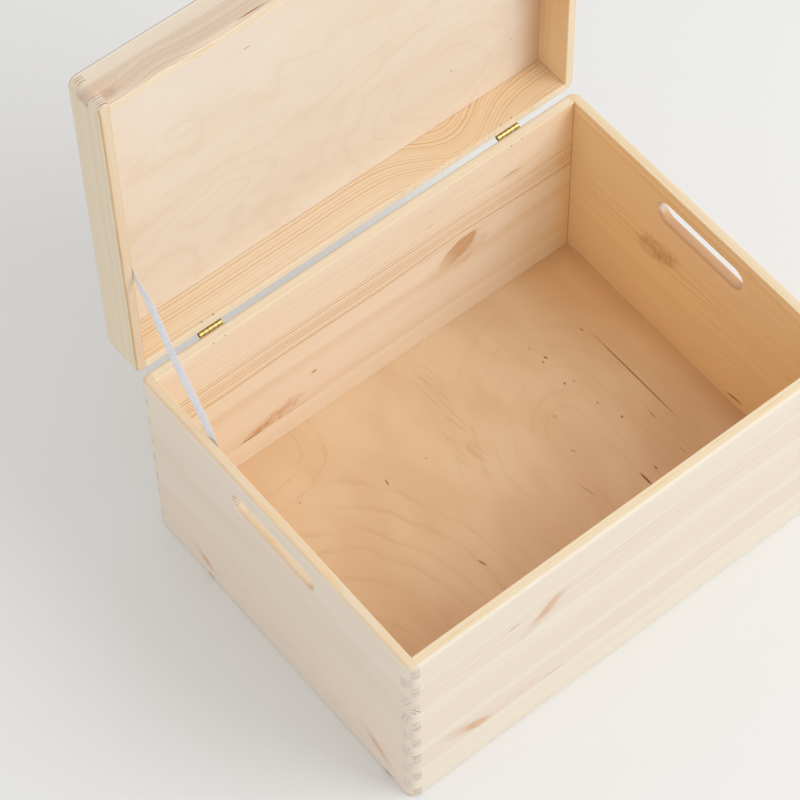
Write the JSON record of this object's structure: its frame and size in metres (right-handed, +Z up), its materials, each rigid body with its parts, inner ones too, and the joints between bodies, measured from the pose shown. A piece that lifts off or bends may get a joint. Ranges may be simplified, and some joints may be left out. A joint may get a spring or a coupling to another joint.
{
  "type": "hinged storage box",
  "caption": "Unfinished pine keepsake box with finger-jointed corners, hand slots in its ends and a hinged lid that a ribbon stay holds open.",
  "frame": {"origin": "on the surface that the box stands on, in the middle of the ground that the box and its open lid cover (17.5 mm behind the middle of the box's own footprint)", "axes": "+Z up, +X towards the right end, -Y towards the front, so the hinge line runs along X at the rear"},
  "size_m": [0.4, 0.335, 0.4915],
  "materials": {
    "pine": "sanded, unfinished pine boards with visible grain and small knots",
    "birch_ply": "sanded, unfinished rotary-cut birch plywood",
    "brass": "bright brass-plated steel",
    "steel_wire": "plain drawn wire",
    "ribbon": "woven satin ribbon, off-white"
  },
  "bodies": {
    "box": {"front_wall": "pine", "back_wall": "pine", "left_wall": "pine", "right_wall": "pine", "base_sheet": "birch_ply", "left_hinge_box_leaf": "brass", "right_hinge_box_leaf": "brass", "left_hinge_pin": "brass", "right_hinge_pin": "brass", "box_hinge_brads": "steel_wire", "box_ribbon_staple": "steel_wire", "ribbon_stay": "ribbon"},
    "lid": {"lid_front_rail": "pine", "lid_back_rail": "pine", "lid_left_rail": "pine", "lid_right_rail": "pine", "lid_sheet": "birch_ply", "left_hinge_lid_leaf": "brass", "right_hinge_lid_leaf": "brass", "lid_hinge_brads": "steel_wire", "lid_ribbon_staple": "steel_wire"}
  },
  "joints": [
    {"name": "lid_hinge", "type": "hinge", "parent": "box", "child": "lid", "pos_m": [0, 0.134, 0.19], "axis": [1, 0, 0], "range_deg": [0, 90], "deforming": ["ribbon_stay"]}
  ]
}
